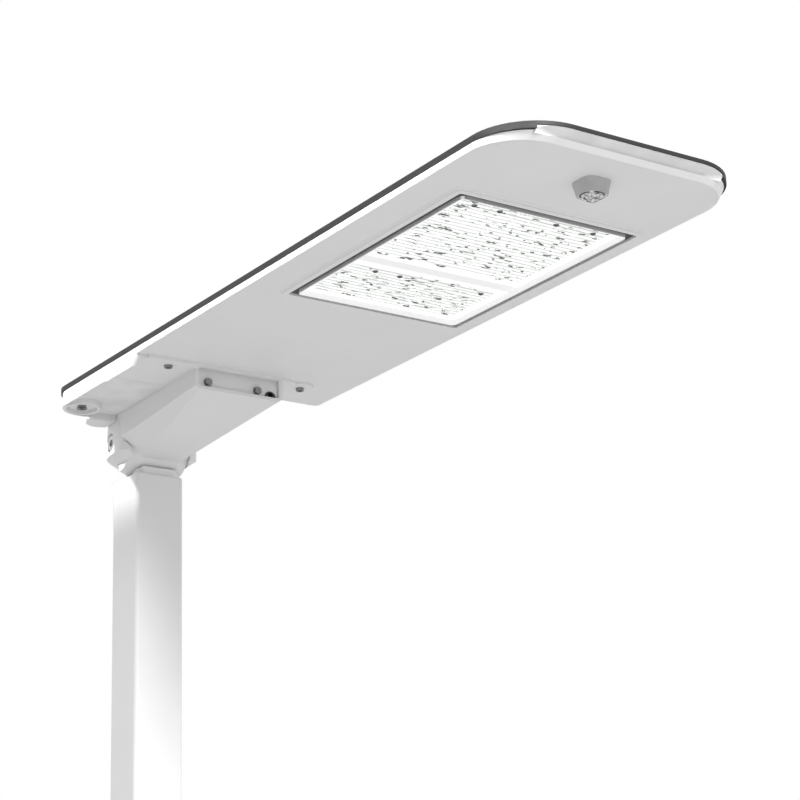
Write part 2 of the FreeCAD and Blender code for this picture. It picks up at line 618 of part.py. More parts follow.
def wedge_section(x, half, side_drop, bottom_half, bottom_drop, top, wall):
    """Six-sided cross-section of the wedge at x, pulled in by wall."""
    low = TRAY_Z - bottom_drop + wall
    side = TRAY_Z - side_drop + wall * 0.5
    points = [V(x, -half + wall, top), V(x, -half + wall, side), V(x, -bottom_half + wall * 0.6, low),
              V(x, bottom_half - wall * 0.6, low), V(x, half - wall, side), V(x, half - wall, top)]
    return Part.makePolygon(points + [points[0]])


def wedge_solid(wall, top, front, rear):
    """The wedge between two x places; both ends follow the same straight edges."""
    span = WEDGE_FRONT - WEDGE_REAR_X

    def at(x):
        share = (x - WEDGE_REAR_X) / span
        mix = lambda a, b: a + (b - a) * share
        return wedge_section(x, mix(CHEEK_HALF, BRACKET_HALF), mix(TRAY_RISE, WEDGE_SIDE_DROP),
                             mix(WEDGE_BOTTOM_HALF, BRACKET_HALF - 6),
                             mix(WEDGE_REAR_DROP, WEDGE_FRONT_DROP), top, wall)

    return Part.makeLoft([at(rear), at(front)], True, True)


def rear_outline(half, inset, front, z0, z1):
    """Half-round rear end of the bracket and coupler as a vertical prism."""
    y = half - inset
    edges = [
        Part.LineSegment(V(front, -y, z0), V(front, y, z0)).toShape(),
        Part.LineSegment(V(front, y, z0), V(REAR_ARC_X, y, z0)).toShape(),
        Part.Arc(V(REAR_ARC_X, y, z0), V(REAR_ARC_X - y, 0, z0), V(REAR_ARC_X, -y, z0)).toShape(),
        Part.LineSegment(V(REAR_ARC_X, -y, z0), V(front, -y, z0)).toShape(),
    ]
    return Part.Face(Part.Wire(edges)).extrude(V(0, 0, z1 - z0))


def coupler_outline(inset, z):
    """Plan of the coupler at a height: half-round rear, rounded front corners."""
    y = CHEEK_HALF - inset
    front = COUPLER_FRONT - inset * (COUPLER_FRONT - COUPLER_FOOT_FRONT) / (CHEEK_HALF - COUPLER_FOOT_HALF)
    r = COUPLER_CORNER
    bend = r * (1 - math.sqrt(0.5))
    edges = [
        Part.LineSegment(V(front, -y + r, z), V(front, y - r, z)).toShape(),
        Part.Arc(V(front, y - r, z), V(front - bend, y - bend, z), V(front - r, y, z)).toShape(),
        Part.LineSegment(V(front - r, y, z), V(REAR_ARC_X, y, z)).toShape(),
        Part.Arc(V(REAR_ARC_X, y, z), V(REAR_ARC_X - y, 0, z), V(REAR_ARC_X, -y, z)).toShape(),
        Part.LineSegment(V(REAR_ARC_X, -y, z), V(front - r, -y, z)).toShape(),
        Part.Arc(V(front - r, -y, z), V(front - bend, -y + bend, z), V(front, -y + r, z)).toShape(),
    ]
    return Part.Wire(edges)


def cheek_disc(radius, side, inner, outer):
    start = V(0, inner if side > 0 else -outer, PIVOT_Z)
    return rod(radius, outer - inner, start, V(0, 1, 0))


def skirt_outline(inset, z0, z1):
    """Plan of the rear block's right side, pulled in by inset, between two heights."""
    return rounded_plate(REAR_BLOCK_START + inset, FLANGE_FRONT + 60, BLADE_RIGHT + inset,
                         -BLADE_RIGHT - inset, 1.0, z0, z1, REAR_BLOCK_CORNER - inset)


def skirt(x0, x1, drop):
    """Plate under the tray's right edge with a thin wall along the outline."""
    top = TRAY_Z
    plate = skirt_outline(0, top - SKIRT_PLATE, top)
    wall = skirt_outline(0, top - drop, top).cut(skirt_outline(SKIRT_WALL, top - drop - 1, top + 1))
    strip = block(x0, x1, BLADE_RIGHT - 1, -CHEEK_HALF, top - drop - 1, top + 1)
    return fuse([plate, wall]).common(strip)


def build_bracket():
    top = TRAY_Z
    wedge = wedge_solid(0, top, WEDGE_FRONT, WEDGE_REAR_X - 1)
    rear = rear_outline(CHEEK_HALF, 0, WEDGE_REAR_X + 2, PIVOT_Z, top)
    flange = block(SKIRT_SEAM + SEAM_GAP, FLANGE_FRONT, -BRACKET_HALF - 2, BRACKET_HALF + 2,
                   top - FLANGE_THICK, top)
    ear = rod(EAR_RADIUS, FLANGE_THICK, V(FLANGE_SCREW_X, FLANGE_SCREW_Y, top - FLANGE_THICK), V(0, 0, 1))
    web = prism([V(SKIRT_SEAM + SEAM_GAP, BRACKET_HALF, top - FLANGE_THICK),
                 V(FLANGE_FRONT, BRACKET_HALF, top - FLANGE_THICK),
                 V(FLANGE_SCREW_X + 4, FLANGE_SCREW_Y + EAR_RADIUS - 0.5, top - FLANGE_THICK),
                 V(FLANGE_SCREW_X - 8, FLANGE_SCREW_Y + EAR_RADIUS - 2, top - FLANGE_THICK)],
                V(0, 0, FLANGE_THICK))
    side = skirt(SKIRT_SEAM + SEAM_GAP, SKIRT_FRONT, SKIRT_DROP)
    apron = block(SKIRT_SEAM + SEAM_GAP, FLANGE_FRONT, BLADE_RIGHT + SKIRT_WALL + 14, -CHEEK_HALF,
                  top - SKIRT_PLATE, top)
    lug = rod(LUG_RADIUS, LUG_DROP - SEAM_GAP, V(LUG_X, LUG_Y, top - LUG_DROP), V(0, 0, 1)).common(
        block(-90, REAR_BLOCK_START - SEAM_GAP, -130, -30, top - 40, top))
    knuckle = revolve_about_pivot(cup_profile(0, KNUCKLE_HALF)).common(
        block(-2, 80, -90, 90, PIVOT_Z - 90, PIVOT_Z + 10))
    core = rod(KNUCKLE_CORE, 2 * KNUCKLE_HALF, V(0, -KNUCKLE_HALF, PIVOT_Z), V(0, 1, 0))
    slope = prism([V(SKIRT_FRONT - SKIRT_RUNOUT, BLADE_RIGHT - 2, top - SKIRT_DROP - 1),
                   V(SKIRT_FRONT, BLADE_RIGHT - 2, top - SKIRT_PLATE),
                   V(SKIRT_FRONT + 20, BLADE_RIGHT - 2, top - SKIRT_PLATE),
                   V(SKIRT_FRONT + 20, BLADE_RIGHT - 2, top - SKIRT_DROP - 1)], V(0, SKIRT_WALL * 3, 0))
    body = fuse([wedge, rear, flange, ear, web, side.cut(slope), apron, lug, knuckle, core])

    pockets = [cheek_disc(CHEEK_RADIUS + TILT_GAP, side, KNUCKLE_HALF, CHEEK_HALF + SIDE_GAP)
               for side in (-1, 1)]
    below = [block(-90, CHEEK_RADIUS + TILT_GAP, min(side * KNUCKLE_HALF, side * 90),
                   max(side * KNUCKLE_HALF, side * 90), PIVOT_Z - 90, PIVOT_Z) for side in (-1, 1)]
    hollow = wedge_solid(BRACKET_WALL, top + 1, WEDGE_FRONT + 1, WEDGE_REAR_X + 16)
    bolt_bore = rod(PIVOT_BORE / 2, 200, V(0, -100, PIVOT_Z), V(0, 1, 0))
    wire_bore = rod(WIRE_BORE / 2, 90, V(14, 0, PIVOT_Z + 4), V(1, 0, 0))
    holes = [rod(FLANGE_SCREW_SHANK / 2, 30, V(FLANGE_SCREW_X, side * FLANGE_SCREW_Y, top - 25),
                 V(0, 0, 1))
             for side in (-1, 1)]
    sink = rod(FLANGE_SCREW_HEAD / 2 + SCREW_CLEARANCE, 30,
               V(FLANGE_SCREW_X, -FLANGE_SCREW_Y, top - FLANGE_THICK - 30), V(0, 0, 1))
    keep("tilt_bracket", cut(body, pockets + below + [hollow, bolt_bore, wire_bore, sink] + holes))


def build_front_plate():
    """Plate that closes the wedge's front, with its two bolts and the wire grommet."""
    gap = BRACKET_WALL + FRONT_PLATE_CLEARANCE
    face = WEDGE_FRONT - FRONT_PLATE_SETBACK
    body = wedge_solid(gap, TRAY_Z - FRONT_PLATE_CLEARANCE, face, face - FRONT_PLATE_THICK)
    bolt_z = TRAY_Z - WEDGE_FRONT_DROP + FRONT_BOLT_RISE
    floor = TRAY_Z - WEDGE_FRONT_DROP + gap + FRONT_PLATE_CLEARANCE
    bores = [rod(FRONT_BOLT_SHANK / 2 + 0.2, 20, V(face - 12, y, bolt_z), V(1, 0, 0))
             for y in FRONT_BOLT_Y]
    notch = rod(GROMMET_RADIUS + 0.1, 20, V(face - 12, GROMMET_Y, floor), V(1, 0, 0))
    keep("front_plate", cut(body, bores + [notch]))
    bolts = []
    for y in FRONT_BOLT_Y:
        centre = V(face, y, bolt_z)
        washer = rod(FRONT_BOLT_HEAD / 2 + 1.5, FRONT_WASHER_THICK, centre, V(1, 0, 0))
        head = hexagon_x(FRONT_BOLT_HEAD, FRONT_BOLT_HEAD_HEIGHT, centre + V(FRONT_WASHER_THICK, 0, 0))
        shank = rod(FRONT_BOLT_SHANK / 2, FRONT_BOLT_GRIP, centre - V(FRONT_BOLT_GRIP, 0, 0), V(1, 0, 0))
        bolts.append(fuse([head, washer, shank]))
    keep_group("front_bolts", bolts)
    grommet = rod(GROMMET_RADIUS, FRONT_PLATE_THICK + 3,
                  V(face - FRONT_PLATE_THICK - 1.5, GROMMET_Y, floor), V(1, 0, 0))
    upper = grommet.common(block(face - 12, face + 12, GROMMET_Y - 20, GROMMET_Y + 20, floor, floor + 20))
    bore = rod(GROMMET_RADIUS * 0.45, 24, V(face - 12, GROMMET_Y, floor + GROMMET_RADIUS * 0.4),
               V(1, 0, 0))
    keep("wire_grommet", upper.cut(bore))


def hexagon_x(across, height, start):
    radius = across / math.sqrt(3)
    points = [start + V(0, radius * math.cos(math.radians(60 * turn + 30)),
                        radius * math.sin(math.radians(60 * turn + 30))) for turn in range(6)]
    return prism(points, V(height, 0, 0))


def socket_screw(x, y, seat, grip, head, shank):
    """Socket screw driven upwards; the head's upper face sits at seat."""
    height = FLANGE_SCREW_HEAD_HEIGHT
    top = rod(head / 2, height, V(x, y, seat - height), V(0, 0, 1))
    stem = rod(shank / 2, grip, V(x, y, seat), V(0, 0, 1))
    drive = hexagon(head * 0.5, height * 0.6, V(x, y, seat - height - 0.01), V(0, 0, 1))
    return fuse([top, stem]).cut(drive)


def build_flange_screws():
    reach = FLANGE_THICK + TRAY_SHEET
    screws = [socket_screw(FLANGE_SCREW_X, side * FLANGE_SCREW_Y, TRAY_Z - FLANGE_THICK, reach,
                           FLANGE_SCREW_HEAD, FLANGE_SCREW_SHANK - 0.2) for side in (-1, 1)]
    keep_group("flange_screws", screws)


def build_rear_cover():
    """Cover under the rear block, in line with the bracket's skirt, with its screw pocket."""
    top = TRAY_Z
    x, y = cover_screw_x(), cover_screw_y()
    plate = skirt(REAR_BLOCK_START - 1, SKIRT_SEAM, COVER_DROP)
    boss = rod(SCREW_BOSS_RADIUS, COVER_DROP, V(x, y, top - COVER_DROP), V(0, 0, 1))
    pocket = rod(SCREW_POCKET_RADIUS, SCREW_POCKET_DEPTH + 1, V(x, y, top - COVER_DROP - 1), V(0, 0, 1))
    bore = rod(FLANGE_SCREW_SHANK / 2, 40, V(x, y, top - 30), V(0, 0, 1))
    wedge = wedge_solid(-SEAM_GAP, top + 5, WEDGE_FRONT, WEDGE_REAR_X - 1)
    rear = rear_outline(CHEEK_HALF, -SEAM_GAP, WEDGE_REAR_X + 2, top - 60, top + 5)
    keep("rear_cover", cut(fuse([plate, boss]), [pocket, bore, wedge, rear]))
    seat = top - COVER_DROP + SCREW_POCKET_DEPTH
    keep("rear_cover_screw", socket_screw(x, y, seat, top + TRAY_SHEET - seat, FLANGE_SCREW_HEAD,
                                          FLANGE_SCREW_SHANK - 0.2))


# ---- coupler and pole --------------------------------------------------------
def build_coupler():
    foot = CHEEK_HALF - COUPLER_FOOT_HALF
    foot_top = POLE_TOP + COUPLER_FOOT
    taper_top = PIVOT_Z - COUPLER_TAPER_TOP
    upper = Part.Face(coupler_outline(0, taper_top)).extrude(V(0, 0, COUPLER_TAPER_TOP - CUP_TOP_DROP))
    taper = Part.makeLoft([coupler_outline(foot, foot_top), coupler_outline(0, taper_top)], True, True)
    base = Part.Face(coupler_outline(foot, POLE_TOP)).extrude(V(0, 0, COUPLER_FOOT))
    tall = Part.Face(coupler_outline(0, taper_top)).extrude(V(0, 0, CHEEK_RADIUS * 2))
    room = fuse([base, taper, tall])
    cheeks = [cheek_disc(CHEEK_RADIUS, side, KNUCKLE_HALF + SIDE_GAP, CHEEK_HALF).common(room)
              for side in (-1, 1)]
    horns = Part.Face(coupler_outline(0, taper_top)).extrude(V(0, 0, COUPLER_TAPER_TOP - HORN_GAP)).common(
        block(0, 90, -90, 90, taper_top, PIVOT_Z))
    clear = wedge_solid(-HORN_GAP, PIVOT_Z + 20, WEDGE_FRONT, WEDGE_REAR_X - HORN_GAP)
    body = fuse([base, taper, upper, horns.cut(clear)] + cheeks)
    half = KNUCKLE_HALF + SIDE_GAP
    cup = revolve_about_pivot(cup_profile(CUP_GAP, half))
    front_cup = cup.common(block(-6, 90, -90, 90, PIVOT_Z - 90, PIVOT_Z + 90))
    rear_cup = rod(KNUCKLE_CORE + TILT_GAP, 2 * half, V(0, -half, PIVOT_Z), V(0, 1, 0))
    bolt_bore = rod(PIVOT_BORE / 2, 200, V(0, -100, PIVOT_Z), V(0, 1, 0))
    sink = PIVOT_WASHER / 2 + PIVOT_SINK_CLEARANCE
    sinks = [rod(sink, 60, V(0, side * (CHEEK_HALF - PIVOT_SINK), PIVOT_Z), V(0, side, 0))
             for side in (-1, 1)]

    inner = POLE_SIDE / 2 - POLE_WALL - SPIGOT_CLEARANCE
    spigot = rounded_plate(-inner, inner, -inner, inner, POLE_CORNER - POLE_WALL,
                           POLE_TOP - SPIGOT_LENGTH, POLE_TOP + 1)
    bore_half = inner - SPIGOT_WALL
    well = rounded_plate(-bore_half, bore_half, -bore_half, bore_half, 3.0, POLE_TOP - SPIGOT_LENGTH - 1,
                         POLE_TOP - SPIGOT_ROOF)
    wire_bore = rod(WIRE_BORE / 2, 60, V(20, 0, POLE_TOP - SPIGOT_ROOF - 5), V(0, 0, 1))
    tapped = [rod(SET_SCREW / 2, 90, V(-45, 0, POLE_TOP - drop), V(1, 0, 0)) for drop in SET_SCREW_DROP]
    cuts = [front_cup, rear_cup, bolt_bore, well, wire_bore] + sinks + tapped
    keep("coupler", cut(fuse([body, spigot]), cuts))


def build_pole():
    half = POLE_SIDE / 2
    inner = half - POLE_WALL
    outer = rounded_plate(-half, half, -half, half, POLE_CORNER, 0, POLE_TOP)
    outer = outer.makeFillet(POLE_TOP_ROUND, top_edges(outer, POLE_TOP))
    bore = rounded_plate(-inner, inner, -inner, inner, POLE_CORNER - POLE_WALL, -1, POLE_TOP + 1)
    tapped = [rod(SET_SCREW / 2 + 0.2, POLE_WALL * 3, V(-half - 2, 0, POLE_TOP - drop), V(1, 0, 0))
              for drop in SET_SCREW_DROP]
    keep("pole_top_section", cut(outer, [bore] + tapped))
    screws = []
    for drop in SET_SCREW_DROP:
        start = V(-half - 4, 0, POLE_TOP - drop)
        head = rod(SET_SCREW * 0.8, 4, start, V(1, 0, 0))
        shank = rod(SET_SCREW / 2, 14, start + V(4, 0, 0), V(1, 0, 0))
        drive = hexagon_x(5.0, 3.0, start - V(0.01, 0, 0))
        screws.append(fuse([head, shank]).cut(drive))
    keep_group("pole_screws", screws)


def build_pivot():
    """Clamp bolt through both cheeks, its head and nut in recesses."""
    seat = CHEEK_HALF - PIVOT_SINK
    washer = PIVOT_WASHER_THICK
    face = seat + washer
    head = rod(PIVOT_HEAD / 2, PIVOT_HEAD_HEIGHT, V(0, -face - PIVOT_HEAD_HEIGHT, PIVOT_Z), V(0, 1, 0))
    drive = hexagon(PIVOT_HEAD_SOCKET, PIVOT_HEAD_HEIGHT * 0.6,
                    V(0, -face - PIVOT_HEAD_HEIGHT - 0.01, PIVOT_Z), V(0, 1, 0))
    reach = 2 * face + PIVOT_NUT_HEIGHT + PIVOT_END
    stem = rod(PIVOT_BOLT / 2, reach, V(0, -face, PIVOT_Z), V(0, 1, 0))
    keep("pivot_bolt", fuse([head, stem]).cut(drive))
    nut = hexagon(PIVOT_NUT_ACROSS, PIVOT_NUT_HEIGHT, V(0, face, PIVOT_Z), V(0, 1, 0))
    keep("pivot_nut", nut.cut(rod(PIVOT_BOLT / 2, 40, V(0, seat - 5, PIVOT_Z), V(0, 1, 0))))
    washers = []
    for start in (-face, seat):
        disc = rod(PIVOT_WASHER / 2, washer, V(0, start, PIVOT_Z), V(0, 1, 0))
        washers.append(disc.cut(rod(PIVOT_BORE / 2, 40, V(0, start - 5, PIVOT_Z), V(0, 1, 0))))
    keep_group("pivot_washers", washers)


# ---- inside the blade and bracket --------------------------------------------
def build_battery():
    cells = []
    pads = []
    z = TRAY_INSIDE + BATTERY_PAD
    start_x = BLADE_REAR + BATTERY_FROM_REAR
    start_y = BLADE_OFFSET - (BATTERY_COLUMNS * BATTERY_Y + (BATTERY_COLUMNS - 1) * BATTERY_GAP) / 2
    pad = rounded_plate(start_x - 2, start_x + BATTERY_ROWS * (BATTERY_X + BATTERY_GAP),
                        start_y - 2, start_y + BATTERY_COLUMNS * (BATTERY_Y + BATTERY_GAP) - 2, 4,
                        TRAY_INSIDE, z)
    wire_hole = rod(WIRE_BORE / 2, 5, V(WEDGE_FRONT - 60, 0, TRAY_INSIDE - 1), V(0, 0, 1))
    for row in range(BATTERY_ROWS):
        for column in range(BATTERY_COLUMNS):
            if row == 0 and column == 1:
                continue
            x = start_x + row * (BATTERY_X + BATTERY_GAP)
            y = start_y + column * (BATTERY_Y + BATTERY_GAP)
            cells.append(rounded_plate(x, x + BATTERY_X, y, y + BATTERY_Y, 3, z, z + BATTERY_THICK))
    keep_group("battery_cells", cells)
    keep("battery_pad", cut(pad, [wire_hole] + [screw_clearance(side) for side in (-1, 1)]))
    for row in range(1, BATTERY_ROWS):
        x = start_x + row * (BATTERY_X + BATTERY_GAP) + BATTERY_X / 2
        length = BATTERY_COLUMNS * (BATTERY_Y + BATTERY_GAP)
        pads.append(block(x - STRAP_WIDTH / 2, x + STRAP_WIDTH / 2, start_y - 4, start_y + length,
                          z + BATTERY_THICK, z + BATTERY_THICK + STRAP_THICK))
    keep_group("battery_straps", pads)


def screw_clearance(side):
    return rod(FLANGE_SCREW_SHANK, 8, V(FLANGE_SCREW_X, side * FLANGE_SCREW_Y, TRAY_INSIDE - 1), V(0, 0, 1))


def build_controller():
    """Charge controller and LED driver on one board inside the bracket."""
    z = TRAY_Z - 16
    x0 = WEDGE_FRONT - 40 - CONTROLLER_X
    half = CONTROLLER_Y / 2
    board = block(x0, x0 + CONTROLLER_X, -half, half, z, z + 1.6)
    corners = [(x0 + 6, -half + 6), (x0 + 6, half - 6), (x0 + CONTROLLER_X - 6, -half + 6),
               (x0 + CONTROLLER_X - 6, half - 6)]
    holes = [rod(1.7, 6, V(x, y, z - 2), V(0, 0, 1)) for x, y in corners]
    keep("controller_board", cut(board, holes))
    above = z + 1.6
    pieces = [rod(5, 11, V(x0 + 24, 18, above), V(0, 0, 1)), rod(5, 11, V(x0 + 38, 18, above), V(0, 0, 1)),
              block(x0 + 18, x0 + 36, -24, -6, above, above + 8),
              block(x0 + 48, x0 + 58, -8, 2, above, above + 1.4),
              block(x0 + 60, x0 + 74, 8, 26, above, above + 9)]
    keep_group("controller_parts", pieces)
    terminals = block(x0 + CONTROLLER_X - 14, x0 + CONTROLLER_X - 3, -26, 26, above, above + 10)
    mouths = [block(x0 + CONTROLLER_X - 9, x0 + CONTROLLER_X, y, y + 4, above + 2, above + 6)
              for y in (-23, -14.5, -6, 2, 10.5, 19)]
    keep("terminal_block", cut(terminals, mouths))
    standoffs = []
    for x, y in corners:
        post = rod(3.5, z - standoff_floor(x), V(x, y, standoff_floor(x)), V(0, 0, 1))
        standoffs.append(post)
    keep_group("controller_standoffs", standoffs)


def standoff_floor(x):
    """Height of the bracket's inside floor at x, just above its slope."""
    share = (x + 4 - WEDGE_REAR_X) / (WEDGE_FRONT - WEDGE_REAR_X)
    drop = WEDGE_REAR_DROP + (WEDGE_FRONT_DROP - WEDGE_REAR_DROP) * share
    return TRAY_Z - drop + BRACKET_WALL + 0.1


build_tray()
build_rim()
build_nose_cap()
build_panel()
build_led_module()
build_sensor()
build_bracket()
build_front_plate()
build_flange_screws()
build_rear_cover()
build_coupler()
build_pole()
build_pivot()
build_battery()
build_controller()

for name, shape in parts.items():
    shape.exportStep("parts/" + name + ".step")
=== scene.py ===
import bpy
import math
from mathutils import Matrix, Vector


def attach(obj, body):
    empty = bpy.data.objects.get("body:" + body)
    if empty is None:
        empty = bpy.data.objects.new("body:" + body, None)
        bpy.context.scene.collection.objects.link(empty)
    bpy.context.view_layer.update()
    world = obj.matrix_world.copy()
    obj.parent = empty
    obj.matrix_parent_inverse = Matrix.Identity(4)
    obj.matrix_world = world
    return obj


# Solar street lamp seen from below and in front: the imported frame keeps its
# meshes and gets painted, moulded and glazed surfaces here. Metres, +Z up.

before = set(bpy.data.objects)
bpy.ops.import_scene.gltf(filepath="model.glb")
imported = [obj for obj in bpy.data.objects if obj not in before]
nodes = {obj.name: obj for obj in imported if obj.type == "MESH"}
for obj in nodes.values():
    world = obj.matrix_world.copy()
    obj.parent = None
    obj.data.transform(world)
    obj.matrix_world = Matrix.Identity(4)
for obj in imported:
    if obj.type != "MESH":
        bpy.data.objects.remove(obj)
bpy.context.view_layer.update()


def extent(name):
    """Lowest and highest corner of a node's mesh."""
    node = nodes[name]
    points = [node.matrix_world @ vertex.co for vertex in node.data.vertices]
    low = Vector([min(point[axis] for point in points) for axis in range(3)])
    high = Vector([max(point[axis] for point in points) for axis in range(3)])
    return low, high


# ---- camera ------------------------------------------------------------------
# Place, angles and lens were fitted to the photograph's view.
CAMERA_PLACE = Vector((3.0075, -1.5898, -0.3954))
CAMERA_AZIMUTH = math.radians(55.554)     # from -Y toward +X, seen from the lamp
CAMERA_ELEVATION = math.radians(-17.718)  # below the lamp, looking up
CAMERA_ROLL = math.radians(-1.651)
LENS_MM = 103.0
SENSOR_MM = 36.0
CLIP_NEAR, CLIP_FAR = 0.05, 60.0


def make_camera():
    """Camera at the photograph's viewing angle."""
    data = bpy.data.cameras.new("camera")
    data.lens = LENS_MM
    data.sensor_width = SENSOR_MM
    data.clip_start = CLIP_NEAR
    data.clip_end = CLIP_FAR
    flat = math.cos(CAMERA_ELEVATION)
    back = Vector((math.sin(CAMERA_AZIMUTH) * flat, -math.cos(CAMERA_AZIMUTH) * flat,
                   math.sin(CAMERA_ELEVATION)))
    level = Vector((math.cos(CAMERA_AZIMUTH), math.sin(CAMERA_AZIMUTH), 0.0))
    right = level * math.cos(CAMERA_ROLL) + back.cross(level) * math.sin(CAMERA_ROLL)
    camera = bpy.data.objects.new("camera", data)
    turn = Matrix((right, back.cross(right), back)).transposed().to_4x4()
    camera.matrix_world = Matrix.Translation(CAMERA_PLACE) @ turn
    bpy.context.scene.collection.objects.link(camera)
    bpy.context.scene.camera = camera


make_camera()


# ---- materials ---------------------------------------------------------------
WHITE = (0.8, 0.8, 0.8)
LENS_WHITE = (0.55, 0.55, 0.55)
GLOW = (0.95, 0.96, 0.95)
CELL_BLUE = (0.012, 0.02, 0.06)
SCREW_GREY = (0.33, 0.33, 0.34)
ZINC = (0.6, 0.6, 0.61)
BOARD_GREEN = (0.04, 0.25, 0.1)
BOARD_WHITE = (0.93, 0.93, 0.93)
LED_WHITE = (1.0, 0.98, 0.92)
PAINT_ROUGHNESS = 0.42
MOULD_GRAIN = 1600.0
METAL_STREAK = (40.0, 40.0, 900.0)
RIB_PITCH = 0.009           # prism lines of the lens plates
BUSBAR_PITCH = 0.026
FINGER_PITCH = 0.002
OPTIC_MARGIN = 0.012        # lens plate's edge to its prism lines
REAR_LENS_FRONT_MARGIN = 0.011
OPTIC_MARGIN_MINUS_Y = 0.0125
OPTIC_MARGIN_PLUS_Y = 0.0135
PAINTED_GLOW_EDGE = 0.0005           # painted glow of the module frame reaches this far beyond the lens plates
LENS_GLOW = 0.6
# strength of the painted glow on the module frame, which is no lamp
MODULE_PAINTED_GLOW = 0.45
FLECK_LEVEL = 0.61          # noise above this is a dark fleck
LINE_BREAK_LEVEL = 0.56     # noise above this breaks a prism line


def shader(name, color, roughness, metallic=0.0):
    """A principled material and its node tree, ready for more nodes."""
    material = bpy.data.materials.new(name)
    material.use_nodes = True
    tree = material.node_tree
    bsdf = tree.nodes["Principled BSDF"]
    bsdf.inputs["Base Color"].default_value = (*color, 1.0)
    bsdf.inputs["Roughness"].default_value = roughness
    bsdf.inputs["Metallic"].default_value = metallic
    return material, tree, bsdf


def object_point(tree):
    """The surface point in the frame's own coordinates, in metres."""
    return tree.nodes.new("ShaderNodeTexCoord").outputs["Object"]


def noise(tree, scale, detail=3.0):
    """Noise value; a larger scale gives a finer pattern."""
    node = tree.nodes.new("ShaderNodeTexNoise")
    node.inputs["Scale"].default_value = scale
    node.inputs["Detail"].default_value = detail
    tree.links.new(object_point(tree), node.inputs["Vector"])
    return node.outputs["Fac"]


def stretched_noise(tree, stretch, scale, detail):
    """Noise on a point scaled by a different amount along each axis."""
    mapping = tree.nodes.new("ShaderNodeMapping")
    mapping.inputs["Scale"].default_value = stretch
    tree.links.new(object_point(tree), mapping.inputs["Vector"])
    node = tree.nodes.new("ShaderNodeTexNoise")
    node.inputs["Scale"].default_value = scale
    node.inputs["Detail"].default_value = detail
    tree.links.new(mapping.outputs["Vector"], node.inputs["Vector"])
    return node.outputs["Fac"]


def blend_colors(tree, factor, low, high, start=0.35, end=0.65):
    """Low colour up to the start value, high colour from the end value."""
    ramp = tree.nodes.new("ShaderNodeValToRGB")
    ramp.color_ramp.elements[0].position = start
    ramp.color_ramp.elements[1].position = end
    ramp.color_ramp.elements[0].color = (*low, 1.0)
    ramp.color_ramp.elements[1].color = (*high, 1.0)
    tree.links.new(factor, ramp.inputs["Fac"])
    return ramp.outputs["Color"]


def spread(tree, factor, low, high):
    """Map a 0 to 1 value to a range."""
    node = tree.nodes.new("ShaderNodeMapRange")
    node.inputs["To Min"].default_value = low
    node.inputs["To Max"].default_value = high
    tree.links.new(factor, node.inputs["Value"])
    return node.outputs["Result"]


def bump(tree, bsdf, height, strength, distance):
    """Fine relief; distance is its depth in metres."""
    node = tree.nodes.new("ShaderNodeBump")
    node.inputs["Strength"].default_value = strength
    node.inputs["Distance"].default_value = distance
    tree.links.new(height, node.inputs["Height"])
    tree.links.new(node.outputs["Normal"], bsdf.inputs["Normal"])


def powder_coat(name, color, grain=900.0):
    """Baked powder paint: fine orange peel and a faint tone drift."""
    material, tree, bsdf = shader(name, color, PAINT_ROUGHNESS)
    drift = noise(tree, 9.0, 4.0)
    dark = tuple(channel * 0.975 for channel in color)
    tree.links.new(blend_colors(tree, drift, dark, color), bsdf.inputs["Base Color"])
    tree.links.new(spread(tree, noise(tree, 60.0), PAINT_ROUGHNESS - 0.06, PAINT_ROUGHNESS + 0.08),
                   bsdf.inputs["Roughness"])
    bump(tree, bsdf, noise(tree, grain, 2.0), 0.12, 0.0004)
    return material


def moulded(name, color, roughness):
    """Moulded plastic or rubber with a fine grain and slight tone changes."""
    material, tree, bsdf = shader(name, color, roughness)
    shade = noise(tree, 25.0, 3.0)
    dark = tuple(channel * 0.9 for channel in color)
    tree.links.new(blend_colors(tree, shade, dark, color), bsdf.inputs["Base Color"])
    tree.links.new(spread(tree, noise(tree, 140.0), roughness - 0.05, roughness + 0.05),
                   bsdf.inputs["Roughness"])
    bump(tree, bsdf, noise(tree, MOULD_GRAIN, 2.0), 0.1, 0.0003)
    return material


def metal(name, color, roughness):
    """Machined or plated metal with fine streaks."""
    material, tree, bsdf = shader(name, color, roughness, 1.0)
    grain = stretched_noise(tree, METAL_STREAK, 6.0, 2.0)
    dark = tuple(channel * 0.82 for channel in color)
    tree.links.new(blend_colors(tree, grain, dark, color), bsdf.inputs["Base Color"])
    tree.links.new(spread(tree, grain, roughness - 0.08, roughness + 0.1), bsdf.inputs["Roughness"])
    return material


def clear(name, tint, roughness, index):
    """Clear glass."""
    material, tree, bsdf = shader(name, tint, roughness)
    bsdf.inputs["Transmission Weight"].default_value = 1.0
    bsdf.inputs["IOR"].default_value = index
    tree.links.new(spread(tree, noise(tree, 45.0), roughness, roughness + 0.06),
                   bsdf.inputs["Roughness"])
    return material


def axis_value(tree, axis):
    """The surface point's place along one axis."""
    split = tree.nodes.new("ShaderNodeSeparateXYZ")
    tree.links.new(object_point(tree), split.inputs["Vector"])
    return split.outputs[axis]


def calculate(tree, operation, *terms):
    """One step of arithmetic; each term is a socket or a number."""
    node = tree.nodes.new("ShaderNodeMath")
    node.operation = operation
    for socket, term in zip(node.inputs, terms):
        if isinstance(term, (int, float)):
            socket.default_value = term
        else:
            tree.links.new(term, socket)
    return node.outputs["Value"]


def within(tree, axis, low, high):
    """1 between two places along an axis, 0 outside."""
    value = axis_value(tree, axis)
    above = calculate(tree, "GREATER_THAN", value, low)
    return calculate(tree, "MULTIPLY", above, calculate(tree, "LESS_THAN", value, high))


def wave(tree, axis, pitch):
    """Sine of the place along an axis, one turn for each pitch."""
    return calculate(tree, "SINE", calculate(tree, "MULTIPLY", axis_value(tree, axis), 2 * math.pi / pitch))


